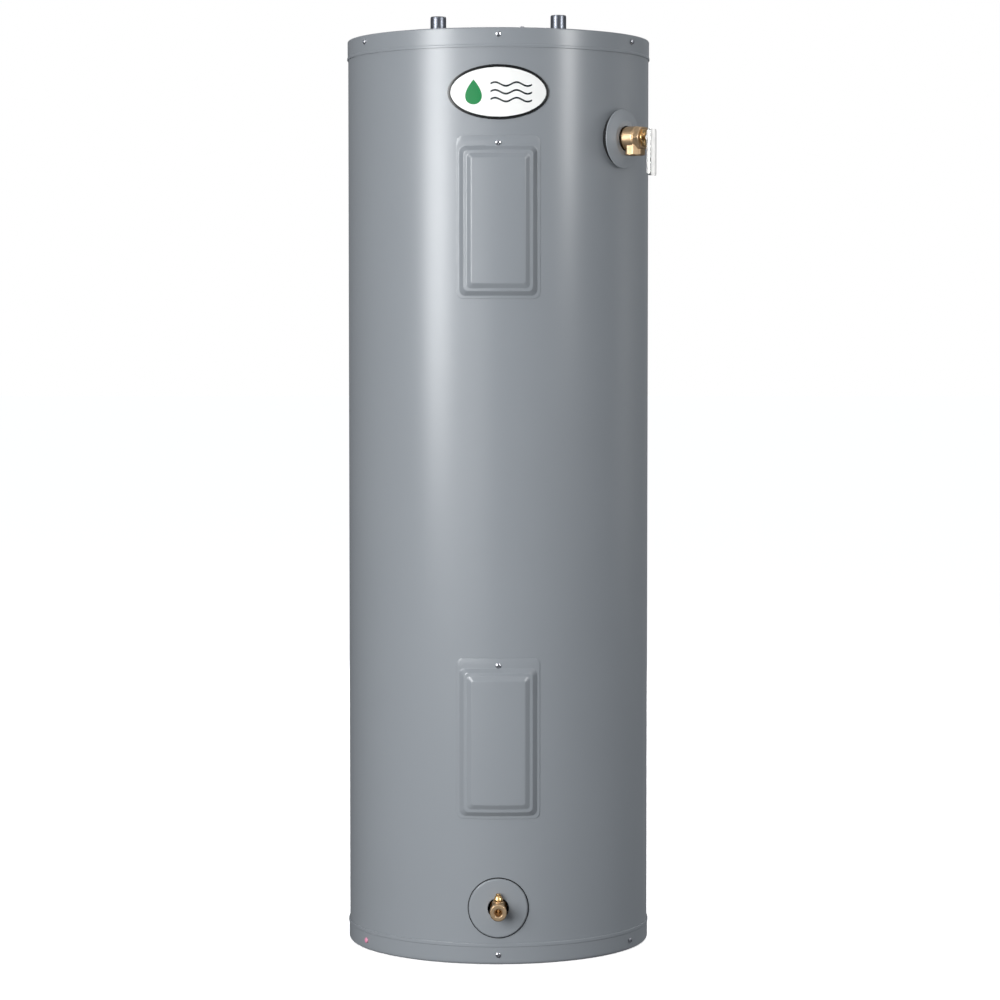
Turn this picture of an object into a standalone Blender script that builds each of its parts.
"""A tall electric storage water heater, modelled as the separate pieces it is assembled from.

Metres, +Z up, front at -Y. The origin is the centre of the underside of the base pan.
"""

import math

import bmesh
import bpy
from mathutils import Matrix, Vector

# Overall sizes
HEIGHT = 1.524  # underside of the pan to the top of the cap
JACKET_DIAMETER = 0.508
INSULATION = 0.0508  # from the jacket's outside to the tank's outside

# Sheet, clearances and facets
SHEET = 0.0008  # jacket, cap, pan and access covers
GAP = 0.0003  # between pieces that rest on or in each other
RUNNING = 0.0003  # between a moving piece and what guides it
OVERRUN = 0.005  # how far a cutter passes the wall it cuts
JACKET_SEGMENTS = 48
TANK_SEGMENTS = 32
FITTING_SEGMENTS = 16
SCREW_SEGMENTS = 8
ARC_STEP = 0.014  # longest chord on a piece wrapped round the jacket

# Top cap and base pan
CAP_SKIRT = 0.032
CAP_CORNER = 0.005
PAN_SKIRT = 0.035
PAN_CORNER = 0.006
HEM = 0.0008  # how far a folded hem stands out
HEM_HEIGHT = 0.004
JACKET_MARGIN = 0.002  # from the jacket's ends to the corner bends of the cap and the pan
SCREWS_ROUND = 6
CAP_SCREW_DROP = 0.0115  # below the cap's top
PAN_SCREW_HEIGHT = 0.016

# Sheet-metal screws
SCREW_HEAD_RADIUS = 0.0046
SCREW_HEAD_HEIGHT = 0.0028
SCREW_SHANK_RADIUS = 0.0018
SCREW_LENGTH = 0.0095
SCREW_TIP = 0.002

# Tank
TANK_WALL = 0.0025
TANK_TOP_DROP = 0.094  # from the cap's top down to the weld of the top head
HEAD_RISE = 0.046
BOTTOM_HEAD_HEIGHT = 0.045
BOTTOM_HEAD_RISE = 0.035
HEAD_ARCS = 4
SPUD_RADIUS = 0.021
SPUD_PROUD = 0.008
FITTING_REACH = 0.010  # from the tank's outside in to the inner end of what is screwed into it
FOAM_BOTTOM = 0.040
FOAM_TOP_DROP = 0.022
FOAM_CLEARANCE = 0.0012  # round the fittings and the junction box

# Water connections
PIPE_RADIUS = 0.01335  # 3/4 inch pipe, outside
PIPE_BORE = 0.0104
PIPE_EASE = 0.001  # chamfer of a nipple's end
NIPPLE_SPACING = 0.2032
COLD_NIPPLE_STAND = 0.043
HOT_NIPPLE_STAND = 0.0455
NIPPLE_DROP = 0.070  # how far a nipple reaches below the cap's top
CAP_HOLE_CLEARANCE = 0.0022
DIP_TUBE_RADIUS = 0.0095
DIP_TUBE_BORE = 0.008
DIP_TUBE_END = 0.205
ANODE_RADIUS = 0.0107
ANODE_LENGTH = 0.90

# Access covers, one stamping used twice
COVER_WIDTH = 0.136
COVER_LENGTH = 0.263
COVER_STEP_WIDTH = 0.122
COVER_STEP_DROP = 0.019
COVER_STEP_RISE = 0.005
COVER_WALL = 0.0035
COVER_LEDGE = 0.0085
COVER_RAMP = 0.0055
COVER_LEDGE_PROUD = 0.0075
COVER_PANEL_PROUD = 0.0125
COVER_CORNER = 0.010
COVER_SCREW_DROP = 0.0115
UPPER_COVER_DROP = 0.174  # cap top to the upper cover's top edge
LOWER_COVER_TOP = 0.5025  # floor to the lower cover's top edge
WINDOW_WIDTH = 0.100
WINDOW_MARGIN = 0.016  # from the raised step's ends to the jacket's window

# Heating elements and controls, measured out from the tank wall
ELEMENT_RISE = 0.035  # from the window's bottom edge to the element's axis
ELEMENT_SPUD_RADIUS = 0.0235
ELEMENT_BARREL_RADIUS = 0.0128
ELEMENT_HEX_RADIUS = 0.0215
ELEMENT_HEX = 0.010
ELEMENT_REACH = 0.260
ELEMENT_TUBE_RADIUS = 0.004
ELEMENT_LEG = 0.0070
ELEMENT_FOLD = 0.020
GASKET = 0.002
GASKET_INSET = 0.004  # from the spud's edge to the gasket's
STUD_RADIUS = 0.0030
STUD_SPREAD = 0.010
STUD_LENGTH = 0.006
CONTROL_WIDTH = 0.060
CONTROL_DEPTH = 0.018
CONTROL_EASE = 0.0015
THERMOSTAT_HEIGHT = 0.054
THERMOSTAT_RISE = 0.027  # element's axis to the thermostat's lower edge
HIGH_LIMIT_HEIGHT = 0.058
CONTROL_SPACE = 0.003
DIAL_RADIUS = 0.008
DIAL_HEIGHT = 0.006
DIAL_EASE = 0.0008
DIAL_SLOT_WIDTH = 0.0016
DIAL_SLOT_DEPTH = 0.002
DIAL_HOLE_CLEARANCE = 0.002  # round the dial, in the guard
DIAL_SHAFT_RADIUS = 0.002
DIAL_SHAFT = 0.006
BUTTON_RADIUS = 0.0035
BUTTON_STAND = 0.0045
BUTTON_DEPTH = 0.008
BUTTON_TRAVEL = 0.002
BUTTON_EASE = 0.0006
BUTTON_HOLE_CLEARANCE = 0.003  # round the button, in the guard
GUARD_WIDTH = 0.084
GUARD_STAND = 0.031
GUARD_DEPTH = 0.024
GUARD_WALL = 0.0015
GUARD_MARGIN = 0.006  # above the window's bottom edge
GUARD_TOP_MARGIN = 0.002  # above the topmost control
PAD_WIDTH = 0.096
PAD_MARGIN = 0.004
PAD_BACK_SPACE = 0.002
PAD_EASE = 0.003
POCKET_MARGIN = 0.004  # foam pocket outside the jacket's window

# Junction box and wiring
JUNCTION_X = 0.0385
JUNCTION_SCREW_INSET = 0.034  # from the jacket's outside, along Y
JUNCTION_COVER_WIDTH = 0.090
JUNCTION_COVER_LENGTH = 0.078
JUNCTION_COVER_SHEET = 0.001
JUNCTION_EDGE = 0.008
JUNCTION_BOX_WIDTH = 0.078
JUNCTION_BOX_LENGTH = 0.056
JUNCTION_BOX_DEPTH = 0.036
JUNCTION_BOX_WALL = 0.001
JUNCTION_BOX_OFFSET = 0.007  # screw's axis to the box's front wall
JUNCTION_LIP = 0.003
CONDUIT_RADIUS = 0.0111
WIRE_RADIUS = 0.0032
WIRE_INSET = 0.004  # from a control's side to the wires' axis
WIRE_HOLE = 0.0045
WIRE_IN_BOX = 0.022
WIRE_BEND = 0.012
WIRE_SLACK = 0.003
CHANNEL_WIDTH = 0.012
CHANNEL_SPACE = 0.004  # in front of the wires

# Badge and drain escutcheon, both wrapped round the jacket
BADGE_WIDTH = 0.165
BADGE_HEIGHT = 0.089
BADGE_DROP = 0.104  # cap top to the badge's centre
BADGE_RIM = 0.003
BADGE_THICKNESS = 0.0012
BADGE_RIM_PROUD = 0.0006
DRAIN_HEIGHT = 0.0936
DRAIN_DISC_RADIUS = 0.0486
DRAIN_DISC_PROUD = 0.0025
DRAIN_DISC_SHEET = 0.0012
DRAIN_DISC_ROUND = 0.003
DRAIN_HOLE_RADIUS = 0.0175
JACKET_DRAIN_HOLE = 0.0195

# Drain cock, measured out from the jacket unless a value says otherwise
DRAIN_PROUD = 0.049
DRAIN_PLUG_PROUD = 0.016  # the plug's axis
DRAIN_OUTLET_RADIUS = 0.0136
DRAIN_OUTLET_LENGTH = 0.014
DRAIN_BARREL_RADIUS = 0.0105
DRAIN_BORE = 0.005
DRAIN_BOSS_RADIUS = 0.0098
DRAIN_BOSS_TOP = 0.0135  # above the outlet's axis
DRAIN_BOSS_BOTTOM = 0.0125
DRAIN_PLUG_RADIUS = 0.0065
DRAIN_PLUG_BOTTOM = 0.0092
DRAIN_PLUG_SHOULDER = 0.0085
DRAIN_PLUG_PORT = 0.0042
DRAIN_STEM_RADIUS = 0.0040
DRAIN_STEM_TOP = 0.0262
DRAIN_SLOT_WIDTH = 0.0016
DRAIN_SLOT_DEPTH = 0.0028
PACKING_NUT_FOOT = 0.0078
PACKING_NUT_NECK = 0.0056
PACKING_NUT_TOP = 0.0225
PACKING_NUT_FOOT_HEIGHT = 0.003
DRAIN_EASE = 0.001

# Temperature and pressure relief valve, measured out from the jacket
RELIEF_ANGLE = 52.4  # from the front towards +X
RELIEF_DROP = 0.173  # cap top to the valve's axis
RELIEF_DISC_RADIUS = 0.0483
RELIEF_DISC_HOLE = 0.0208
RELIEF_DISC_PROUD = 0.0045
RELIEF_DISC_CROWN = 0.0075
RELIEF_DISC_SHEET = 0.001
RELIEF_DISC_SHOULDER = 0.008  # from the hole to where the cone starts
RELIEF_DISC_RIM = 0.003
RELIEF_SEAL_INSET = 0.0025
RELIEF_SEAL_WIDTH = 0.012
JACKET_RELIEF_HOLE = 0.0222
RELIEF_BODY_START = 0.0135
RELIEF_BODY_END = 0.0475
RELIEF_EASE = 0.0015
RELIEF_GROOVE = 0.0365  # middle of the groove between the body's barrel and its hexagon
RELIEF_HEX_RADIUS = 0.0205
RELIEF_GROOVE_DEPTH = 0.0014
RELIEF_BODY_RADIUS = 0.0195
RELIEF_SEAT = 0.0170
RELIEF_SEAT_BORE = 0.0075
RELIEF_CHAMBER = 0.0135
RELIEF_OUTLET_PROUD = 0.0295
RELIEF_OUTLET_RADIUS = 0.0168
RELIEF_OUTLET_BORE = 0.0122
RELIEF_OUTLET_DROP = 0.0280
RELIEF_PROBE_RADIUS = 0.0035
RELIEF_PROBE_REACH = 0.115  # inward from the tank wall
RELIEF_BONNET_RADIUS = 0.0155
RELIEF_BONNET_END = 0.0503
RELIEF_DISC_THICKNESS = 0.0025
RELIEF_PLUG_RADIUS = 0.0108
RELIEF_STEM_RADIUS = 0.0025
RELIEF_PIN_PROUD = 0.0610
RELIEF_PIN_RADIUS = 0.0013
RELIEF_PIN_STAND = 0.0008  # past each side of the lever
RELIEF_EYE_RADIUS = 0.0030
RELIEF_EYE_THICKNESS = 0.0050
SPRING_RADIUS = 0.0068
SPRING_WIRE = 0.0011
SPRING_TURNS = 5
SPRING_SPACE = 0.0006
LEVER_WIDTH = 0.020
LEVER_DEPTH = 0.0062
LEVER_SHEET = 0.0012
LEVER_ABOVE = 0.014  # above the pin
LEVER_BELOW = 0.062
LEVER_PROUD = 0.0656
LEVER_EAR = 0.0045

# Values that follow from the sizes above
JACKET_RADIUS = JACKET_DIAMETER / 2
TANK_RADIUS = JACKET_RADIUS - INSULATION
FITTING_END = TANK_RADIUS - FITTING_REACH
TANK_TOP = HEIGHT - TANK_TOP_DROP
HEAD_BASE = TANK_TOP + GAP
FOAM_TOP = HEIGHT - FOAM_TOP_DROP
SKIRT_RADIUS = JACKET_RADIUS + GAP + SHEET  # outside of the cap's and the pan's skirts
RELIEF_HEIGHT = HEIGHT - RELIEF_DROP
UPPER_COVER_TOP = HEIGHT - UPPER_COVER_DROP
GUARD_FRONT = TANK_RADIUS + GUARD_STAND
JUNCTION_SCREW_Y = -(JACKET_RADIUS - JUNCTION_SCREW_INSET)
JUNCTION_BOX_FRONT = JUNCTION_SCREW_Y + JUNCTION_BOX_OFFSET
JUNCTION_BOX_Y = JUNCTION_BOX_FRONT + JUNCTION_BOX_LENGTH / 2
WIRE_X = CONTROL_WIDTH / 2 - WIRE_INSET
WIRE_Y = -(TANK_RADIUS + CONTROL_DEPTH / 2)
DIAL_HOLE = DIAL_RADIUS + DIAL_HOLE_CLEARANCE
BUTTON_HOLE = BUTTON_RADIUS + BUTTON_HOLE_CLEARANCE
CHANNEL_FRONT = WIRE_Y - WIRE_RADIUS - WIRE_SLACK - CHANNEL_SPACE


def clear_scene():
    """Removes every object that the scene already holds."""
    for existing in list(bpy.data.objects):
        bpy.data.objects.remove(existing, do_unlink=True)


def new_collection(name):
    """A collection linked to the scene."""
    collection = bpy.data.collections.new(name)
    bpy.context.scene.collection.children.link(collection)
    return collection


def finish(name, color, roughness, metallic=0.0):
    """A Principled material."""
    made = bpy.data.materials.new(name)
    made.use_nodes = True
    shader = made.node_tree.nodes["Principled BSDF"]
    shader.inputs["Base Color"].default_value = (*color, 1.0)
    shader.inputs["Roughness"].default_value = roughness
    shader.inputs["Metallic"].default_value = metallic
    made.diffuse_color = (*color, 1.0)
    return made


clear_scene()
HEATER = new_collection("water_heater")
TOOLS = new_collection("cutters")

ENAMEL = finish("grey_enamel", (0.30, 0.32, 0.34), 0.35)
BADGE_FACE = finish("badge_face", (0.80, 0.82, 0.80), 0.3)
FOAM = finish("foam", (0.75, 0.66, 0.42), 0.95)
SEAL_FOAM = finish("seal_foam", (0.02, 0.02, 0.02), 0.95)
FIBREGLASS = finish("fibreglass", (0.80, 0.70, 0.30), 1.0)
TANK_STEEL = finish("tank_steel", (0.08, 0.08, 0.09), 0.6, 0.6)
ZINC = finish("zinc_plate", (0.65, 0.66, 0.68), 0.3, 1.0)
NICKEL = finish("nickel_plate", (0.75, 0.74, 0.72), 0.2, 1.0)
BRASS = finish("brass", (0.72, 0.50, 0.22), 0.3, 1.0)
SPRING_STEEL = finish("spring_steel", (0.45, 0.45, 0.46), 0.3, 1.0)
RUBBER = finish("rubber", (0.02, 0.02, 0.02), 0.8)
MAGNESIUM = finish("magnesium", (0.50, 0.51, 0.53), 0.55, 1.0)
DIP_PLASTIC = finish("dip_tube_plastic", (0.70, 0.72, 0.74), 0.5)
PHENOLIC = finish("phenolic", (0.02, 0.02, 0.025), 0.45)
DIAL_PLASTIC = finish("dial_plastic", (0.80, 0.80, 0.78), 0.4)
RED_PLASTIC = finish("red_plastic", (0.60, 0.02, 0.02), 0.35)
GUARD_PLASTIC = finish("guard_plastic", (0.55, 0.57, 0.58), 0.5)
WIRE_PVC = finish("wire_pvc", (0.05, 0.05, 0.06), 0.5)


def outward(angle, height, distance=0.0):
    """A frame on the tank's axis: +Z out of the jacket at an angle from the front, +Y up."""
    turn = math.radians(angle)
    frame = Matrix(
        (
            (math.cos(turn), 0, math.sin(turn), 0),
            (math.sin(turn), 0, -math.cos(turn), 0),
            (0, 1, 0, height),
            (0, 0, 0, 1),
        )
    )
    return frame @ Matrix.Translation((0, 0, distance))


def place(name, mesh, material, matrix=None, helper=False):
    """An object for a mesh, in the heater's collection or, for a cutter, in the other one."""
    placed = bpy.data.objects.new(name, mesh)
    (TOOLS if helper else HEATER).objects.link(placed)
    placed.matrix_world = matrix or Matrix.Identity(4)
    if helper:
        placed.hide_render = True
        placed.display_type = "WIRE"
    else:
        mesh.materials.append(material)
    return placed


def turned(name, profile, material, matrix=None, segments=FITTING_SEGMENTS, ring=False, helper=False):
    """A profile of (radius, height) points, clockwise round the material, turned about local Z."""
    mesh = bpy.data.meshes.new(name)
    edges = [(step, step + 1) for step in range(len(profile) - 1)]
    if ring:
        edges.append((len(profile) - 1, 0))
    mesh.from_pydata([(radius, 0, height) for radius, height in profile], edges, [])
    placed = place(name, mesh, material, matrix, helper)
    screw = placed.modifiers.new("turn", "SCREW")
    screw.axis = "Z"
    screw.steps = screw.render_steps = segments
    screw.use_merge_vertices = True
    screw.merge_threshold = 0.00001
    screw.use_smooth_shade = True
    return placed


def arc(centre, radius, start, end, steps=3):
    """Points round an arc in the profile's plane, angles in degrees from the radius axis."""
    angles = [math.radians(start + (end - start) * step / steps) for step in range(steps + 1)]
    return [(centre[0] + radius * math.cos(a), centre[1] + radius * math.sin(a)) for a in angles]


def solid_mesh(name, build):
    """A mesh made by a function that fills a bmesh."""
    shape = bmesh.new()
    build(shape)
    mesh = bpy.data.meshes.new(name)
    shape.to_mesh(mesh)
    shape.free()
    return mesh


def rod(shape, radius, low, high, matrix=None, segments=FITTING_SEGMENTS, tip=None):
    """Adds a cylinder or cone along local Z to a bmesh, with flats and not corners on its X and Y."""
    middle = Matrix.Translation((0, 0, (low + high) / 2)) @ Matrix.Rotation(math.pi / segments, 4, "Z")
    bmesh.ops.create_cone(
        shape,
        cap_ends=True,
        segments=segments,
        radius1=radius,
        radius2=radius if tip is None else tip,
        depth=high - low,
        matrix=(matrix or Matrix.Identity(4)) @ middle,
    )


def rod_helper(name, radius, low, high, matrices, segments=FITTING_SEGMENTS):
    """One helper that holds a cylinder for each matrix."""

    def build(shape):
        for matrix in matrices:
            rod(shape, radius, low, high, matrix, segments)

    return place(name, solid_mesh(name, build), None, helper=True)


def block(name, low, high, material, matrix=None, bevel=0.0, helper=False):
    """A box between two corners, its edges rounded by a Bevel."""
    low, high = Vector(low), Vector(high)
    size = high - low
    scale = Matrix.Diagonal((*size, 1.0))

    def build(shape):
        bmesh.ops.create_cube(shape, size=1.0, matrix=Matrix.Translation((low + high) / 2) @ scale)

    placed = place(name, solid_mesh(name, build), material, matrix, helper)
    if bevel:
        edge = placed.modifiers.new("rounded", "BEVEL")
        edge.width = bevel
        edge.segments = 2
    return placed


def combine(target, other, operation):
    """Adds an exact Boolean that joins or cuts one object with another."""
    modifier = target.modifiers.new(f"{operation.lower()}_{other.name}", "BOOLEAN")
    modifier.operation = operation
    modifier.object = other
    modifier.solver = "EXACT"


def cut(target, *others):
    """Cuts one object with each of the others."""
    for other in others:
        combine(target, other, "DIFFERENCE")


def join(target, *others):
    """Joins each of the others to one object."""
    for other in others:
        combine(target, other, "UNION")


def tube(name, points, radius, material, matrix=None, resolution=2):
    """A wire along a list of points."""
    curve = bpy.data.curves.new(name, "CURVE")
    curve.dimensions = "3D"
    curve.bevel_depth = radius
    curve.bevel_resolution = resolution
    curve.use_fill_caps = True
    spline = curve.splines.new("POLY")
    spline.points.add(len(points) - 1)
    for point, co in zip(spline.points, points):
        point.co = (*co, 1.0)
    placed = bpy.data.objects.new(name, curve)
    HEATER.objects.link(placed)
    placed.matrix_world = matrix or Matrix.Identity(4)
    curve.materials.append(material)
    return placed


def as_helper_mesh(wire):
    """Replaces a curve with a closed helper mesh, so that a Boolean can use it."""
    bpy.context.view_layer.update()
    evaluated = wire.evaluated_get(bpy.context.evaluated_depsgraph_get())
    mesh = bpy.data.meshes.new_from_object(evaluated)
    shape = bmesh.new()
    shape.from_mesh(mesh)
    bmesh.ops.remove_doubles(shape, verts=shape.verts, dist=0.00001)
    bmesh.ops.recalc_face_normals(shape, faces=shape.faces)
    shape.to_mesh(mesh)
    shape.free()
    name, matrix = wire.name, wire.matrix_world.copy()
    bpy.data.objects.remove(wire, do_unlink=True)
    return place(name, mesh, None, matrix, helper=True)


def smooth_route(points, steps=4):
    """Points along a smooth curve through the given ones, each stretch as long as its own chord."""
    route = [Vector(point) for point in points]
    ends = [route[0] * 2 - route[1], *route, route[-1] * 2 - route[-2]]
    ways = [(after - before).normalized() for before, after in zip(ends, ends[2:])]
    found = []
    for start, end, leaving, arriving in zip(route, route[1:], ways, ways[1:]):
        chord = (end - start).length
        for step in range(steps):
            t = step / steps
            point = start * (2 * t**3 - 3 * t**2 + 1) + end * (3 * t**2 - 2 * t**3)
            point += leaving * chord * (t**3 - 2 * t**2 + t) + arriving * chord * (t**3 - t**2)
            found.append(point)
    return found + [route[-1]]


def rounded_rectangle(width, low, high, corner, columns, corner_steps=3):
    """An outline as (x, z) points: left to right along the top, then back along the bottom."""
    half = width / 2
    upper = []
    for step in range(corner_steps + 1):
        a = math.pi - math.pi / 2 * step / corner_steps
        upper.append((corner - half + corner * math.cos(a), high - corner + corner * math.sin(a)))
    straight = width - 2 * corner
    upper += [(corner - half + straight * step / columns, high) for step in range(1, columns)]
    upper += [(-x, z) for x, z in reversed(upper[: corner_steps + 1])]
    return upper + [(x, low + high - z) for x, z in reversed(upper)]


def oval(width, height, centre, points=36):
    """An outline as (x, z) points in the same order, with none on the long axis."""
    half = points // 2
    angles = [math.pi - math.pi * (step + 0.5) / half for step in range(half)]
    upper = [(width / 2 * math.cos(a), centre + height / 2 * math.sin(a)) for a in angles]
    return upper + [(x, 2 * centre - z) for x, z in reversed(upper)]


def wrapped(name, rings, thickness, material, filled=True):
    """A sheet piece lofted through outlines, each bent to its own radius round the jacket's axis."""

    def build(shape):
        loops = []
        for outline, radius in rings:
            loops.append([shape.verts.new((x, -math.sqrt(radius**2 - x**2), z)) for x, z in outline])
        count = len(loops[0])
        for outer, inner in zip(loops, loops[1:]):
            for step in range(count):
                following = (step + 1) % count
                shape.faces.new((outer[step], outer[following], inner[following], inner[step])[::-1])
        if filled:
            panel = loops[-1]
            for step in range(count // 2 - 1):
                facing = count - 1 - step
                shape.faces.new((panel[step], panel[step + 1], panel[facing - 1], panel[facing])[::-1])
        front = min(shape.faces, key=lambda face: face.calc_center_median().y)
        if front.normal.y == 0:
            front.normal_update()
        if front.normal.y > 0:
            bmesh.ops.reverse_faces(shape, faces=shape.faces)

    placed = place(name, solid_mesh(name, build), material)
    sheet = placed.modifiers.new("sheet", "SOLIDIFY")
    sheet.thickness = thickness
    sheet.offset = -1
    return placed


def dome(radius, rise, base):
    """Half of an elliptical head's outline, from its crown to its rim."""
    angles = [math.pi / 2 * (1 - step / HEAD_ARCS) for step in range(HEAD_ARCS + 1)]
    points = [(radius * math.cos(a), base + rise * math.sin(a)) for a in angles]
    return [(0.0, base + rise), *points[1:]]


def screw_ring(height):
    """Frames for the screws spaced evenly round the jacket at one height."""
    return [outward(360 * step / SCREWS_ROUND, height) for step in range(SCREWS_ROUND)]


def screw_hole_helper(name, matrices):
    """Clearance holes for sheet-metal screws through the jacket and what covers it."""
    inside = JACKET_RADIUS - SCREW_LENGTH - OVERRUN
    outside = SKIRT_RADIUS + SCREW_HEAD_HEIGHT
    return rod_helper(name, SCREW_SHANK_RADIUS + GAP, inside, outside, matrices, SCREW_SEGMENTS)


def screw(name, matrix, seat, material=ZINC):
    """A pan-head sheet-metal screw along local Z, its head bearing on the seat."""
    under = seat + GAP
    profile = [(0.0, under + SCREW_HEAD_HEIGHT)]
    profile += [(SCREW_HEAD_RADIUS * 0.6, under + SCREW_HEAD_HEIGHT * 0.88)]
    profile += [(SCREW_HEAD_RADIUS, under + SCREW_HEAD_HEIGHT * 0.35), (SCREW_HEAD_RADIUS, under)]
    profile += [(SCREW_SHANK_RADIUS, under), (SCREW_SHANK_RADIUS, seat - SCREW_LENGTH + SCREW_TIP)]
    profile += [(0.0, seat - SCREW_LENGTH)]
    return turned(name, profile, material, matrix, SCREW_SEGMENTS)


class Window:
    """Where one access cover, its window in the jacket and what lies behind it are."""

    def __init__(self, cover_top):
        self.cover_top = cover_top
        self.cover_bottom = cover_top - COVER_LENGTH
        self.step_top = cover_top - COVER_STEP_DROP
        self.step_bottom = self.cover_bottom + COVER_STEP_RISE
        self.top = self.step_top - WINDOW_MARGIN
        self.bottom = self.step_bottom + WINDOW_MARGIN
        self.screw = cover_top - COVER_SCREW_DROP
        self.element = self.bottom + ELEMENT_RISE
        self.thermostat = self.element + THERMOSTAT_RISE
        self.thermostat_top = self.thermostat + THERMOSTAT_HEIGHT
        self.high_limit = self.thermostat_top + CONTROL_SPACE
        self.high_limit_top = self.high_limit + HIGH_LIMIT_HEIGHT
        self.dial = self.thermostat + THERMOSTAT_HEIGHT / 2
        self.button = self.high_limit + HIGH_LIMIT_HEIGHT / 2


UPPER = Window(UPPER_COVER_TOP)
LOWER = Window(LOWER_COVER_TOP)

NIPPLES = [Matrix.Translation((side * NIPPLE_SPACING / 2, 0, 0)) for side in (-1, 1)]
RELIEF = outward(RELIEF_ANGLE, RELIEF_HEIGHT)
DRAIN = outward(0, DRAIN_HEIGHT)
CAP_SCREWS = screw_ring(HEIGHT - CAP_SCREW_DROP)
PAN_SCREWS = screw_ring(PAN_SCREW_HEIGHT)
COVER_SCREWS = [outward(0, window.screw) for window in (UPPER, LOWER)]
JUNCTION_SCREW = Matrix.Translation((JUNCTION_X, JUNCTION_SCREW_Y, 0))

CAP_SCREW_HOLES = screw_hole_helper("cap_screw_holes", CAP_SCREWS)
PAN_SCREW_HOLES = screw_hole_helper("pan_screw_holes", PAN_SCREWS)
COVER_SCREW_HOLES = screw_hole_helper("cover_screw_holes", COVER_SCREWS)


def make_jacket():
    """The painted outer jacket with its two windows and the holes for the valves."""
    inner = JACKET_RADIUS - SHEET
    low, high = PAN_CORNER + JACKET_MARGIN, HEIGHT - CAP_CORNER - JACKET_MARGIN
    profile = [(inner, high), (JACKET_RADIUS, high), (JACKET_RADIUS, low), (inner, low)]
    jacket = turned("jacket", profile, ENAMEL, segments=JACKET_SEGMENTS, ring=True)
    reach = JACKET_RADIUS + OVERRUN
    for label, window in (("upper", UPPER), ("lower", LOWER)):
        low_corner = (-WINDOW_WIDTH / 2, -reach, window.bottom)
        high_corner = (WINDOW_WIDTH / 2, -TANK_RADIUS, window.top)
        cut(jacket, block(f"{label}_window", low_corner, high_corner, None, helper=True))
    inside = TANK_RADIUS + SPUD_PROUD
    cut(jacket, rod_helper("jacket_relief_hole", JACKET_RELIEF_HOLE, inside, reach, [RELIEF]))
    cut(jacket, rod_helper("jacket_drain_hole", JACKET_DRAIN_HOLE, inside, reach, [DRAIN]))
    cut(jacket, CAP_SCREW_HOLES, PAN_SCREW_HOLES, COVER_SCREW_HOLES)


def make_top_cap():
    """The cap over the jacket's top, with the nipple holes and the junction box's opening."""
    inner, bend = JACKET_RADIUS + GAP, CAP_CORNER - SHEET
    centre = (SKIRT_RADIUS - CAP_CORNER, HEIGHT - CAP_CORNER)
    bottom = HEIGHT - CAP_SKIRT
    hem_top = bottom + HEM_HEIGHT
    profile = [(0.0, HEIGHT), *arc(centre, CAP_CORNER, 90, 0)]
    profile += [(SKIRT_RADIUS, hem_top + HEM), (SKIRT_RADIUS + HEM, hem_top)]
    profile += [(SKIRT_RADIUS + HEM, bottom), (inner, bottom)]
    profile += [*arc(centre, bend, 0, 90), (0.0, HEIGHT - SHEET)]
    cap = turned("top_cap", profile, ENAMEL, segments=JACKET_SEGMENTS)
    low, high = HEIGHT - CAP_CORNER, HEIGHT + OVERRUN
    cut(cap, rod_helper("cap_pipe_holes", PIPE_RADIUS + CAP_HOLE_CLEARANCE, low, high, NIPPLES))
    half_x = JUNCTION_BOX_WIDTH / 2 - JUNCTION_LIP
    half_y = JUNCTION_BOX_LENGTH / 2 - JUNCTION_LIP
    low_corner = (JUNCTION_X - half_x, JUNCTION_BOX_Y - half_y, low)
    high_corner = (JUNCTION_X + half_x, JUNCTION_BOX_Y + half_y, high)
    cut(cap, block("cap_junction_opening", low_corner, high_corner, None, helper=True))
    radius = SCREW_SHANK_RADIUS + GAP
    cut(cap, rod_helper("cap_cover_screw_hole", radius, low, high, [JUNCTION_SCREW], SCREW_SEGMENTS))
    cut(cap, CAP_SCREW_HOLES)


def make_base_pan():
    """The pan that the tank stands in, its skirt outside the jacket."""
    inner, bend = JACKET_RADIUS + GAP, PAN_CORNER - SHEET
    centre = (SKIRT_RADIUS - PAN_CORNER, PAN_CORNER)
    hem_bottom = PAN_SKIRT - HEM_HEIGHT
    profile = [(0.0, SHEET), *arc(centre, bend, -90, 0), (inner, PAN_SKIRT)]
    profile += [(SKIRT_RADIUS + HEM, PAN_SKIRT), (SKIRT_RADIUS + HEM, hem_bottom)]
    profile += [(SKIRT_RADIUS, hem_bottom - HEM), *arc(centre, PAN_CORNER, 0, -90), (0.0, 0.0)]
    pan = turned("base_pan", profile, ENAMEL, segments=JACKET_SEGMENTS)
    cut(pan, PAN_SCREW_HOLES)


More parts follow.
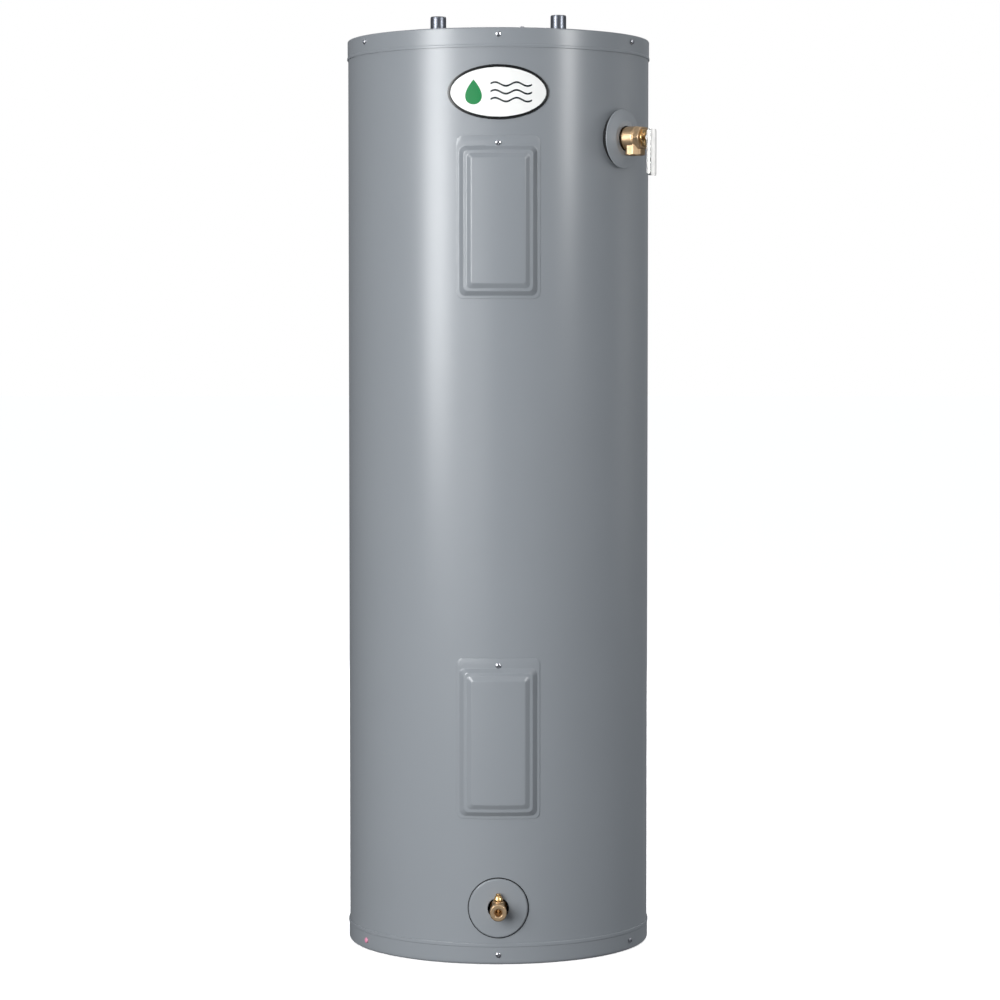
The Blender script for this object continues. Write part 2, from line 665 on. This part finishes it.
def make_tank():
    """The tank: a shell that stands on its rim, a domed top head and a bottom head dished upward."""
    inner = TANK_RADIUS - TANK_WALL
    low = SHEET + GAP
    profile = [(inner, TANK_TOP), (TANK_RADIUS, TANK_TOP), (TANK_RADIUS, low), (inner, low)]
    shell = turned("tank_shell", profile, TANK_STEEL, segments=TANK_SEGMENTS, ring=True)
    start, end = TANK_RADIUS - 2 * TANK_WALL, TANK_RADIUS + SPUD_PROUD
    elements = [outward(0, window.element) for window in (UPPER, LOWER)]
    join(shell, rod_helper("valve_spuds", SPUD_RADIUS, start, end, [RELIEF, DRAIN]))
    join(shell, rod_helper("element_spuds", ELEMENT_SPUD_RADIUS, start, end, elements))
    start, end = start - OVERRUN, end + OVERRUN
    cut(shell, rod_helper("valve_bores", PIPE_RADIUS + GAP, start, end, [RELIEF, DRAIN]))
    radius = ELEMENT_BARREL_RADIUS + GAP
    cut(shell, rod_helper("element_bores", radius, start, end, elements))

    profile = dome(TANK_RADIUS, HEAD_RISE, HEAD_BASE)
    profile += reversed(dome(inner, HEAD_RISE - TANK_WALL, HEAD_BASE))
    head = turned("tank_top_head", profile, TANK_STEEL, segments=TANK_SEGMENTS)
    crown = head_height(NIPPLE_SPACING / 2)
    low, high = crown - SPUD_RADIUS, crown + SPUD_PROUD
    join(head, rod_helper("pipe_spuds", SPUD_RADIUS, low, high, NIPPLES))
    low, high = low - OVERRUN, high + OVERRUN
    cut(head, rod_helper("pipe_bores", PIPE_RADIUS + GAP, low, high, NIPPLES))

    outer = inner - GAP
    profile = dome(outer, BOTTOM_HEAD_RISE, BOTTOM_HEAD_HEIGHT)
    profile += reversed(dome(outer - TANK_WALL, BOTTOM_HEAD_RISE - TANK_WALL, BOTTOM_HEAD_HEIGHT))
    turned("tank_bottom_head", profile, TANK_STEEL, segments=TANK_SEGMENTS)


def head_height(radius):
    """Height of the top head's outside at a distance from the tank's axis."""
    return HEAD_BASE + HEAD_RISE * math.sqrt(1 - (radius / TANK_RADIUS) ** 2)


def make_foam():
    """The foam between jacket and tank, with pockets for the controls, fittings and wiring."""
    inscribed = (JACKET_RADIUS - SHEET) * math.cos(math.pi / JACKET_SEGMENTS)
    outer, inner = inscribed - GAP, TANK_RADIUS + GAP
    profile = [(0.0, FOAM_TOP), (outer, FOAM_TOP), (outer, FOAM_BOTTOM), (inner, FOAM_BOTTOM)]
    profile += reversed(dome(inner, HEAD_RISE + GAP, HEAD_BASE))
    foam = turned("foam_insulation", profile, FOAM, segments=TANK_SEGMENTS)
    back, front = -FITTING_END, -(JACKET_RADIUS + OVERRUN)
    half = WINDOW_WIDTH / 2 + POCKET_MARGIN
    for label, window in (("upper", UPPER), ("lower", LOWER)):
        low = (-half, front, window.bottom - POCKET_MARGIN)
        high = (half, back, window.top + POCKET_MARGIN)
        cut(foam, block(f"{label}_pocket", low, high, None, helper=True))
    end = JACKET_RADIUS + OVERRUN
    radius = SPUD_RADIUS + FOAM_CLEARANCE
    cut(foam, rod_helper("foam_valve_holes", radius, FITTING_END, end, [RELIEF, DRAIN]))
    low = head_height(NIPPLE_SPACING / 2) - SPUD_RADIUS
    cut(foam, rod_helper("foam_pipe_holes", radius, low, HEIGHT, NIPPLES))
    cut(foam, COVER_SCREW_HOLES)
    depth = HEIGHT - SHEET - JUNCTION_BOX_DEPTH - FOAM_CLEARANCE
    half_x = JUNCTION_BOX_WIDTH / 2 + FOAM_CLEARANCE
    half_y = JUNCTION_BOX_LENGTH / 2 + FOAM_CLEARANCE
    low = (JUNCTION_X - half_x, JUNCTION_BOX_Y - half_y, depth)
    high = (JUNCTION_X + half_x, JUNCTION_BOX_Y + half_y, HEIGHT)
    cut(foam, block("foam_junction_pocket", low, high, None, helper=True))
    low = (WIRE_X - CHANNEL_WIDTH / 2, CHANNEL_FRONT, LOWER.top)
    high = (WIRE_X + CHANNEL_WIDTH / 2, back, depth + OVERRUN)
    cut(foam, block("foam_wire_channel", low, high, None, helper=True))


def make_water_pipes():
    """The two nipples, the dip tube in the cold one and the anode rod below the hot one."""
    low = HEIGHT - NIPPLE_DROP
    stands = (("cold_inlet_nipple", COLD_NIPPLE_STAND), ("hot_outlet_nipple", HOT_NIPPLE_STAND))
    for (name, stand), matrix in zip(stands, NIPPLES):
        top = HEIGHT + stand
        profile = [(PIPE_BORE, top), (PIPE_RADIUS - PIPE_EASE, top), (PIPE_RADIUS, top - PIPE_EASE)]
        profile += [(PIPE_RADIUS, low), (PIPE_BORE, low)]
        turned(name, profile, ZINC, matrix, ring=True)
    top = HEIGHT - GAP
    profile = [(DIP_TUBE_BORE, top), (DIP_TUBE_RADIUS, top)]
    profile += [(DIP_TUBE_RADIUS, DIP_TUBE_END), (DIP_TUBE_BORE, DIP_TUBE_END)]
    turned("dip_tube", profile, DIP_PLASTIC, NIPPLES[0], segments=16, ring=True)
    top = low - GAP
    profile = [(0.0, top), (ANODE_RADIUS, top), (ANODE_RADIUS, top - ANODE_LENGTH)]
    profile += [(0.0, top - ANODE_LENGTH)]
    turned("anode_rod", profile, MAGNESIUM, NIPPLES[1], segments=16)


def make_element(label, window):
    """A screw-in immersion element: hex head, barrel, folded tube, terminal studs and gasket."""
    frame = outward(0, window.element)
    face = TANK_RADIUS + SPUD_PROUD
    head_low = face + 2 * GAP + GASKET

    def build_head(shape):
        rod(shape, ELEMENT_HEX_RADIUS, head_low, head_low + ELEMENT_HEX, segments=6)

    name = f"{label}_element"
    element = place(name, solid_mesh(name, build_head), ZINC, frame)
    half_hex = head_low + ELEMENT_HEX / 2
    join(element, rod_helper(f"{name}_barrel", ELEMENT_BARREL_RADIUS, FITTING_END, half_hex, [frame]))
    studs = [frame @ Matrix.Translation((side * STUD_SPREAD, 0, 0)) for side in (-1, 1)]
    end = head_low + ELEMENT_HEX + STUD_LENGTH
    join(element, rod_helper(f"{name}_studs", STUD_RADIUS, half_hex, end, studs, segments=8))
    start, tip = FITTING_END + OVERRUN, TANK_RADIUS - ELEMENT_REACH
    fold = tip + ELEMENT_FOLD
    loop = arc((0, 0), ELEMENT_LEG, 0, -180, 6)
    path = [(0, ELEMENT_LEG, start), (0, ELEMENT_LEG, fold)]
    path += [(0, y, fold + z) for y, z in loop[1:-1]]
    path += [(0, -ELEMENT_LEG, fold), (0, -ELEMENT_LEG, start)]
    hairpin = tube(f"{name}_hairpin", path, ELEMENT_TUBE_RADIUS, ZINC, frame)
    join(element, as_helper_mesh(hairpin))

    low, high = face + GAP, face + GAP + GASKET
    inner, outer = ELEMENT_BARREL_RADIUS + GAP, ELEMENT_SPUD_RADIUS - GASKET_INSET
    profile = [(inner, high), (outer, high), (outer, low), (inner, low)]
    turned(f"{label}_element_gasket", profile, RUBBER, frame, ring=True)


def make_control(name, low, height, shaft_radius, shaft_depth, pocket_height):
    """A control block against the tank wall, with a round pocket in its face."""
    back, front = -(TANK_RADIUS + GAP), -(TANK_RADIUS + CONTROL_DEPTH)
    low_corner = (-CONTROL_WIDTH / 2, front, low)
    high_corner = (CONTROL_WIDTH / 2, back, low + height)
    control = block(name, low_corner, high_corner, PHENOLIC, bevel=CONTROL_EASE)
    face = TANK_RADIUS + CONTROL_DEPTH
    frame = outward(0, pocket_height)
    floor = face - shaft_depth
    pocket = rod_helper(f"{name}_pocket", shaft_radius + RUNNING, floor, face + OVERRUN, [frame], 16)
    cut(control, pocket)
    return frame


def make_thermostat(label, window):
    """A surface thermostat and its turning dial."""
    depth = DIAL_SHAFT + GAP
    name = f"{label}_thermostat"
    sizes = (THERMOSTAT_HEIGHT, DIAL_SHAFT_RADIUS, depth, window.dial)
    frame = make_control(name, window.thermostat, *sizes)
    face = TANK_RADIUS + CONTROL_DEPTH
    under, top = face + GAP, face + GAP + DIAL_HEIGHT
    profile = [(0.0, top), (DIAL_RADIUS - DIAL_EASE, top), (DIAL_RADIUS, top - DIAL_EASE)]
    profile += [(DIAL_RADIUS, under)]
    profile += [(DIAL_SHAFT_RADIUS, under), (DIAL_SHAFT_RADIUS, face - DIAL_SHAFT)]
    profile += [(0.0, face - DIAL_SHAFT)]
    dial = turned(f"{label}_thermostat_dial", profile, DIAL_PLASTIC, frame, segments=16)
    half_length, half_width = DIAL_RADIUS * 0.7, DIAL_SLOT_WIDTH / 2
    slot_low = (-half_length, -half_width, top - DIAL_SLOT_DEPTH)
    slot_high = (half_length, half_width, top + OVERRUN)
    cut(dial, block(f"{label}_dial_slot", slot_low, slot_high, None, frame, helper=True))


def make_high_limit():
    """The high-limit control above the upper thermostat, with its reset button."""
    depth = BUTTON_DEPTH + BUTTON_TRAVEL + GAP
    sizes = (HIGH_LIMIT_HEIGHT, BUTTON_RADIUS, depth, UPPER.button)
    frame = make_control("high_limit_control", UPPER.high_limit, *sizes)
    face = TANK_RADIUS + CONTROL_DEPTH
    top, low = face + BUTTON_STAND, face - BUTTON_DEPTH
    profile = [(0.0, top), (BUTTON_RADIUS - BUTTON_EASE, top), (BUTTON_RADIUS, top - BUTTON_EASE)]
    profile += [(BUTTON_RADIUS, low), (0.0, low)]
    turned("reset_button", profile, RED_PLASTIC, frame, segments=12)


def make_guard(label, window, controls_top, holes):
    """A plastic terminal guard: a front plate with two sides, open above and below."""
    low, top = window.bottom + GUARD_MARGIN, controls_top + GUARD_TOP_MARGIN
    half = GUARD_WIDTH / 2
    front, back = -GUARD_FRONT, -(GUARD_FRONT - GUARD_DEPTH)
    name = f"{label}_terminal_guard"
    guard = block(name, (-half, front, low), (half, back, top), GUARD_PLASTIC)
    inner_low = (-half + GUARD_WALL, front + GUARD_WALL, low - OVERRUN)
    inner_high = (half - GUARD_WALL, back + OVERRUN, top + OVERRUN)
    cut(guard, block(f"{name}_inside", inner_low, inner_high, None, helper=True))
    start, end = GUARD_FRONT - GUARD_WALL - OVERRUN, GUARD_FRONT + OVERRUN
    for step, (height, radius) in enumerate(holes):
        frame = outward(0, height)
        cut(guard, rod_helper(f"{name}_hole_{step}", radius, start, end, [frame], 16))


def make_pad(label, window):
    """The insulation pad between the guard and the access cover."""
    half = PAD_WIDTH / 2
    back = -(GUARD_FRONT + PAD_BACK_SPACE)
    front = -math.sqrt(JACKET_RADIUS**2 - half**2)
    low = (-half, front, window.bottom + PAD_MARGIN)
    high = (half, back, window.top - PAD_MARGIN)
    block(f"{label}_insulation_pad", low, high, FIBREGLASS, bevel=PAD_EASE)


def make_access_cover(label, window):
    """A stamped cover: a flange on the jacket, a steep wall, a ledge, a ramp and a raised panel."""
    base = JACKET_RADIUS + GAP + SHEET
    proud = JACKET_RADIUS + SHEET
    inset_1 = COVER_WALL
    inset_2 = inset_1 + COVER_LEDGE
    inset_3 = inset_2 + COVER_RAMP
    columns = math.ceil(COVER_WIDTH / ARC_STEP)

    def step_outline(inset, corner):
        width = COVER_STEP_WIDTH - 2 * inset
        low, high = window.step_bottom + inset, window.step_top - inset
        return rounded_rectangle(width, low, high, corner, columns)

    flange = (COVER_WIDTH, window.cover_bottom, window.cover_top, COVER_CORNER, columns)
    rings = [(rounded_rectangle(*flange), base)]
    rings += [(step_outline(0, COVER_CORNER), base)]
    rings += [(step_outline(inset_1, COVER_CORNER * 0.9), proud + COVER_LEDGE_PROUD)]
    rings += [(step_outline(inset_2, COVER_CORNER * 0.6), proud + COVER_LEDGE_PROUD)]
    rings += [(step_outline(inset_3, COVER_CORNER * 0.5), proud + COVER_PANEL_PROUD)]
    cover = wrapped(f"{label}_access_cover", rings, SHEET, ENAMEL)
    cut(cover, COVER_SCREW_HOLES)


def make_badge():
    """The oval badge, a thin plate bent round the jacket with a raised rim."""
    top = JACKET_RADIUS + GAP + BADGE_THICKNESS
    centre = HEIGHT - BADGE_DROP
    inner = (BADGE_WIDTH - 2 * BADGE_RIM, BADGE_HEIGHT - 2 * BADGE_RIM, centre)
    floor = (BADGE_WIDTH - 3 * BADGE_RIM, BADGE_HEIGHT - 3 * BADGE_RIM, centre)
    rings = [(oval(BADGE_WIDTH, BADGE_HEIGHT, centre), top + BADGE_RIM_PROUD)]
    rings += [(oval(*inner), top + BADGE_RIM_PROUD), (oval(*floor), top)]
    wrapped("badge", rings, BADGE_THICKNESS, BADGE_FACE)


def make_drain_escutcheon():
    """The disc round the drain cock, bent to the jacket, with a rounded edge."""
    base = JACKET_RADIUS + GAP + DRAIN_DISC_SHEET
    top = base + DRAIN_DISC_PROUD
    wide = 2 * DRAIN_DISC_RADIUS
    face = wide - 2 * DRAIN_DISC_ROUND
    hole = 2 * DRAIN_HOLE_RADIUS
    rings = [(oval(wide, wide, DRAIN_HEIGHT, 40), base), (oval(face, face, DRAIN_HEIGHT, 40), top)]
    rings += [(oval(hole, hole, DRAIN_HEIGHT, 40), top)]
    wrapped("drain_escutcheon", rings, DRAIN_DISC_SHEET, ENAMEL, filled=False)


def make_drain_cock():
    """A brass plug cock: body with a hose outlet, a plug that turns a quarter and a packing nut."""
    front = JACKET_RADIUS + DRAIN_PROUD
    collar = front - DRAIN_OUTLET_LENGTH
    shoulder = JACKET_RADIUS
    ease = DRAIN_EASE
    profile = [(DRAIN_BORE, front), (DRAIN_OUTLET_RADIUS - ease, front)]
    profile += [(DRAIN_OUTLET_RADIUS, front - ease), (DRAIN_OUTLET_RADIUS, collar)]
    profile += [(DRAIN_BARREL_RADIUS, collar - ease), (DRAIN_BARREL_RADIUS, shoulder)]
    profile += [(PIPE_RADIUS, shoulder - 4 * ease), (PIPE_RADIUS, FITTING_END)]
    profile += [(DRAIN_BORE, FITTING_END)]
    body = turned("drain_valve_body", profile, BRASS, DRAIN, ring=True)
    axis = Matrix.Translation((0, -(JACKET_RADIUS + DRAIN_PLUG_PROUD), DRAIN_HEIGHT))
    boss = (DRAIN_BOSS_RADIUS, -DRAIN_BOSS_BOTTOM, DRAIN_BOSS_TOP)
    join(body, rod_helper("drain_boss", *boss, [axis]))
    plug_low = -DRAIN_PLUG_BOTTOM - RUNNING
    radius = DRAIN_PLUG_RADIUS + RUNNING
    cut(body, rod_helper("drain_plug_bore", radius, plug_low, DRAIN_BOSS_TOP + OVERRUN, [axis]))

    profile = [(0.0, DRAIN_STEM_TOP), (DRAIN_STEM_RADIUS, DRAIN_STEM_TOP)]
    profile += [(DRAIN_STEM_RADIUS, DRAIN_PLUG_SHOULDER), (DRAIN_PLUG_RADIUS, DRAIN_PLUG_SHOULDER)]
    profile += [(DRAIN_PLUG_RADIUS, -DRAIN_PLUG_BOTTOM), (0.0, -DRAIN_PLUG_BOTTOM)]
    plug = turned("drain_plug", profile, BRASS, axis)
    across = axis @ Matrix.Rotation(math.pi / 2, 4, "Y")
    port = DRAIN_PLUG_RADIUS + OVERRUN
    cut(plug, rod_helper("drain_plug_port", DRAIN_PLUG_PORT, -port, port, [across], 16))
    slot_low = (-port, -DRAIN_SLOT_WIDTH / 2, DRAIN_STEM_TOP - DRAIN_SLOT_DEPTH)
    slot_high = (port, DRAIN_SLOT_WIDTH / 2, DRAIN_STEM_TOP + OVERRUN)
    cut(plug, block("drain_plug_slot", slot_low, slot_high, None, axis, helper=True))

    bore = DRAIN_STEM_RADIUS + RUNNING
    foot = DRAIN_BOSS_TOP + GAP
    profile = [(bore, PACKING_NUT_TOP), (PACKING_NUT_NECK, PACKING_NUT_TOP)]
    profile += [(PACKING_NUT_FOOT, foot + PACKING_NUT_FOOT_HEIGHT), (PACKING_NUT_FOOT, foot), (bore, foot)]
    turned("drain_packing_nut", profile, BRASS, axis, ring=True)


def make_relief_escutcheon():
    """The shallow cone round the relief valve, and the foam seal that closes it to the jacket."""
    low = JACKET_RADIUS + RELIEF_DISC_PROUD
    high = low + RELIEF_DISC_CROWN
    sheet = RELIEF_DISC_SHEET
    shoulder = RELIEF_DISC_HOLE + RELIEF_DISC_SHOULDER
    bend = RELIEF_DISC_RADIUS - RELIEF_DISC_RIM
    profile = [(RELIEF_DISC_HOLE, high), (shoulder, high), (bend, low + 2 * sheet)]
    profile += [(RELIEF_DISC_RADIUS, low + sheet), (RELIEF_DISC_RADIUS, low), (bend - sheet, low)]
    profile += [(bend - sheet, low + sheet), (shoulder, high - sheet), (RELIEF_DISC_HOLE, high - sheet)]
    turned("relief_escutcheon", profile, ENAMEL, RELIEF, segments=32, ring=True)

    outer = RELIEF_DISC_RADIUS - RELIEF_SEAL_INSET
    inner = outer - RELIEF_SEAL_WIDTH
    depth = JACKET_RADIUS - 4 * RELIEF_DISC_PROUD
    top = low - GAP
    profile = [(inner, top), (outer, top), (outer, depth), (inner, depth)]
    seal = turned("relief_seal", profile, SEAL_FOAM, RELIEF, segments=32, ring=True)
    reach = 2 * RELIEF_DISC_RADIUS
    low_end, high_end = RELIEF_HEIGHT - reach, RELIEF_HEIGHT + reach
    profile = [(0.0, high_end), (JACKET_RADIUS + GAP, high_end)]
    profile += [(JACKET_RADIUS + GAP, low_end), (0.0, low_end)]
    cut(seal, turned("jacket_form", profile, None, segments=JACKET_SEGMENTS, helper=True))


def make_relief_valve():
    """The relief valve's body and hexagonal bonnet."""
    start, end = JACKET_RADIUS + RELIEF_BODY_START, JACKET_RADIUS + RELIEF_BODY_END
    seat = JACKET_RADIUS + RELIEF_SEAT
    ease = RELIEF_EASE
    profile = [(RELIEF_SEAT_BORE, end), (RELIEF_BODY_RADIUS - ease, end)]
    groove, floor = JACKET_RADIUS + RELIEF_GROOVE, RELIEF_BODY_RADIUS - RELIEF_GROOVE_DEPTH
    profile += [(RELIEF_BODY_RADIUS, end - ease), (RELIEF_BODY_RADIUS, groove + RELIEF_GROOVE_DEPTH)]
    profile += [(floor, groove), (RELIEF_BODY_RADIUS, groove - RELIEF_GROOVE_DEPTH)]
    profile += [(RELIEF_BODY_RADIUS, start + 2 * ease)]
    profile += [(RELIEF_BODY_RADIUS - ease, start), (PIPE_RADIUS, start), (PIPE_RADIUS, FITTING_END)]
    profile += [(RELIEF_SEAT_BORE, FITTING_END)]
    body = turned("relief_valve_body", profile, BRASS, RELIEF, ring=True)
    flats = (RELIEF_HEX_RADIUS, groove + 2 * ease, end - ease / 2)
    join(body, rod_helper("relief_hexagon", *flats, [RELIEF], segments=6))
    centre = JACKET_RADIUS + RELIEF_OUTLET_PROUD
    down = RELIEF @ Matrix.Translation((0, 0, centre)) @ Matrix.Rotation(math.pi / 2, 4, "X")
    outlet = (RELIEF_OUTLET_RADIUS, RELIEF_CHAMBER + ease, RELIEF_OUTLET_DROP)
    join(body, rod_helper("relief_outlet_boss", *outlet, [down], segments=8))
    cut(body, rod_helper("relief_chamber", RELIEF_CHAMBER, seat, end + OVERRUN, [RELIEF]))
    bore = (RELIEF_OUTLET_BORE, RELIEF_CHAMBER / 2, RELIEF_OUTLET_DROP + OVERRUN)
    cut(body, rod_helper("relief_outlet_bore", *bore, [down]))

    low, high = end + GAP, JACKET_RADIUS + RELIEF_BONNET_END

    def build_bonnet(shape):
        rod(shape, RELIEF_BONNET_RADIUS, low, high, segments=6)

    bonnet = place("relief_bonnet", solid_mesh("relief_bonnet", build_bonnet), BRASS, RELIEF)
    hole = (RELIEF_STEM_RADIUS + RUNNING, low - OVERRUN, high + OVERRUN)
    cut(bonnet, rod_helper("relief_stem_hole", *hole, [RELIEF], 16))


def make_relief_stem():
    """The stem with its sealing disc and eye, the spring round it, and the lever's pin."""
    seat = JACKET_RADIUS + RELIEF_SEAT + GAP
    disc_top = seat + RELIEF_DISC_THICKNESS
    pin = JACKET_RADIUS + RELIEF_PIN_PROUD
    profile = [(0.0, pin), (RELIEF_STEM_RADIUS, pin), (RELIEF_STEM_RADIUS, disc_top)]
    probe_end = TANK_RADIUS - RELIEF_PROBE_REACH
    profile += [(RELIEF_PLUG_RADIUS, disc_top), (RELIEF_PLUG_RADIUS, seat)]
    profile += [(RELIEF_PROBE_RADIUS, seat), (RELIEF_PROBE_RADIUS, probe_end), (0.0, probe_end)]
    stem = turned("relief_stem", profile, BRASS, RELIEF, segments=16)
    pivot = RELIEF @ Matrix.Translation((0, 0, pin)) @ Matrix.Rotation(math.pi / 2, 4, "Y")
    half = RELIEF_EYE_THICKNESS / 2
    join(stem, rod_helper("relief_eye", RELIEF_EYE_RADIUS, -half, half, [pivot], 16))
    hole = RELIEF_PIN_RADIUS + RUNNING
    cut(stem, rod_helper("relief_eye_hole", hole, -2 * half, 2 * half, [pivot], 12))

    half = LEVER_WIDTH / 2 + RELIEF_PIN_STAND
    profile = [(0.0, half), (RELIEF_PIN_RADIUS, half), (RELIEF_PIN_RADIUS, -half), (0.0, -half)]
    turned("relief_lever_pin", profile, NICKEL, pivot, segments=12)

    low = disc_top + SPRING_SPACE + SPRING_WIRE
    high = JACKET_RADIUS + RELIEF_BODY_END - SPRING_SPACE - SPRING_WIRE
    per_turn = 10
    count = SPRING_TURNS * per_turn
    coil = []
    for step in range(count + 1):
        turn = 2 * math.pi * step / per_turn
        height = low + (high - low) * step / count
        coil.append((SPRING_RADIUS * math.cos(turn), SPRING_RADIUS * math.sin(turn), height))
    tube("relief_spring", coil, SPRING_WIRE, SPRING_STEEL, RELIEF, resolution=1)


def make_relief_lever():
    """The test lever: a channel hanging from the pin, its web outward and ears round the pin."""
    pin = JACKET_RADIUS + RELIEF_PIN_PROUD
    frame = RELIEF @ Matrix.Translation((0, 0, pin))
    half = LEVER_WIDTH / 2
    outer = LEVER_PROUD - RELIEF_PIN_PROUD
    inner = outer - LEVER_DEPTH
    low, high = (-half, -LEVER_BELOW, inner), (half, LEVER_ABOVE, outer)
    lever = block("relief_lever", low, high, NICKEL, frame)
    low, high = (-half, -LEVER_EAR, -LEVER_EAR), (half, LEVER_EAR, inner + LEVER_SHEET)
    join(lever, block("lever_ears", low, high, None, frame, helper=True))
    trough_low = (-half + LEVER_SHEET, -LEVER_BELOW - OVERRUN, -LEVER_EAR - OVERRUN)
    trough_high = (half - LEVER_SHEET, LEVER_ABOVE + OVERRUN, outer - LEVER_SHEET)
    cut(lever, block("lever_trough", trough_low, trough_high, None, frame, helper=True))
    pivot = frame @ Matrix.Rotation(math.pi / 2, 4, "Y")
    hole = RELIEF_PIN_RADIUS + RUNNING
    cut(lever, rod_helper("lever_pin_hole", hole, -LEVER_WIDTH, LEVER_WIDTH, [pivot], 12))


def make_junction_box():
    """The open box under the cap, its cover plate with the conduit hole, and the cover's screw."""
    top = HEIGHT - SHEET - GAP
    bottom = top - JUNCTION_BOX_DEPTH
    half_x, half_y = JUNCTION_BOX_WIDTH / 2, JUNCTION_BOX_LENGTH / 2
    low = (JUNCTION_X - half_x, JUNCTION_BOX_Y - half_y, bottom)
    high = (JUNCTION_X + half_x, JUNCTION_BOX_Y + half_y, top)
    box = block("junction_box", low, high, ZINC)
    wall = JUNCTION_BOX_WALL
    low = (low[0] + wall, low[1] + wall, bottom + wall)
    high = (high[0] - wall, high[1] - wall, top + OVERRUN)
    cut(box, block("junction_box_inside", low, high, None, helper=True))
    hole = Matrix.Translation((WIRE_X, wire_drop_y(), 0))
    low, high = bottom - OVERRUN, bottom + OVERRUN
    cut(box, rod_helper("junction_wire_hole", WIRE_HOLE, low, high, [hole], 12))

    low, high = HEIGHT + GAP, HEIGHT + GAP + JUNCTION_COVER_SHEET
    front = JUNCTION_SCREW_Y - JUNCTION_EDGE
    half = JUNCTION_COVER_WIDTH / 2
    low_corner = (JUNCTION_X - half, front, low)
    high_corner = (JUNCTION_X + half, front + JUNCTION_COVER_LENGTH, high)
    cover = block("junction_box_cover", low_corner, high_corner, ENAMEL)
    conduit = Matrix.Translation((JUNCTION_X, JUNCTION_BOX_Y, 0))
    low, high = low - OVERRUN, high + OVERRUN
    cut(cover, rod_helper("conduit_hole", CONDUIT_RADIUS, low, high, [conduit]))
    radius = SCREW_SHANK_RADIUS + GAP
    cut(cover, rod_helper("cover_screw_hole", radius, low, high, [JUNCTION_SCREW], SCREW_SEGMENTS))
    screw("junction_cover_screw", JUNCTION_SCREW, HEIGHT + GAP + JUNCTION_COVER_SHEET)


def wire_drop_y():
    """Where the wires leave the junction box's floor, just inside its front wall."""
    return JUNCTION_BOX_FRONT + JUNCTION_BOX_WALL + WIRE_HOLE + GAP


def make_wiring():
    """The supply wires to the high-limit control, and those on to the lower thermostat."""
    box_floor = HEIGHT - SHEET - GAP - JUNCTION_BOX_DEPTH
    drop_y = wire_drop_y()
    route = [(WIRE_X, drop_y, box_floor + WIRE_IN_BOX), (WIRE_X, drop_y, box_floor - WIRE_BEND)]
    route += [(WIRE_X, WIRE_Y, box_floor - 4 * WIRE_BEND)]
    route += [(WIRE_X, WIRE_Y, UPPER.high_limit_top + WIRE_BEND)]
    route += [(WIRE_X, WIRE_Y, UPPER.high_limit_top + GAP)]
    tube("upper_wire_harness", smooth_route(route), WIRE_RADIUS, WIRE_PVC)
    start, end = UPPER.thermostat - GAP, LOWER.thermostat_top + GAP
    slack = (WIRE_X, WIRE_Y - WIRE_SLACK, (start + end) / 2)
    route = [(WIRE_X, WIRE_Y, start), (WIRE_X, WIRE_Y, start - WIRE_BEND), slack]
    route += [(WIRE_X, WIRE_Y, end + WIRE_BEND), (WIRE_X, WIRE_Y, end)]
    tube("lower_wire_harness", smooth_route(route), WIRE_RADIUS, WIRE_PVC)


def make_screws():
    """The screws of the cap, the pan and the two access covers."""
    for step in range(SCREWS_ROUND):
        screw(f"cap_screw_{step + 1}", CAP_SCREWS[step], SKIRT_RADIUS)
        screw(f"base_screw_{step + 1}", PAN_SCREWS[step], SKIRT_RADIUS)
    for label, frame in zip(("upper", "lower"), COVER_SCREWS):
        screw(f"{label}_cover_screw", frame, JACKET_RADIUS + GAP + SHEET)


make_jacket()
make_top_cap()
make_base_pan()
make_tank()
make_foam()
make_water_pipes()
for side_label, side_window in (("upper", UPPER), ("lower", LOWER)):
    make_element(side_label, side_window)
    make_thermostat(side_label, side_window)
    make_pad(side_label, side_window)
    make_access_cover(side_label, side_window)
make_high_limit()
make_guard("upper", UPPER, UPPER.high_limit_top, [(UPPER.dial, DIAL_HOLE), (UPPER.button, BUTTON_HOLE)])
make_guard("lower", LOWER, LOWER.thermostat_top, [(LOWER.dial, DIAL_HOLE)])
make_badge()
make_drain_escutcheon()
make_drain_cock()
make_relief_escutcheon()
make_relief_valve()
make_relief_stem()
make_relief_lever()
make_junction_box()
make_wiring()
make_screws()
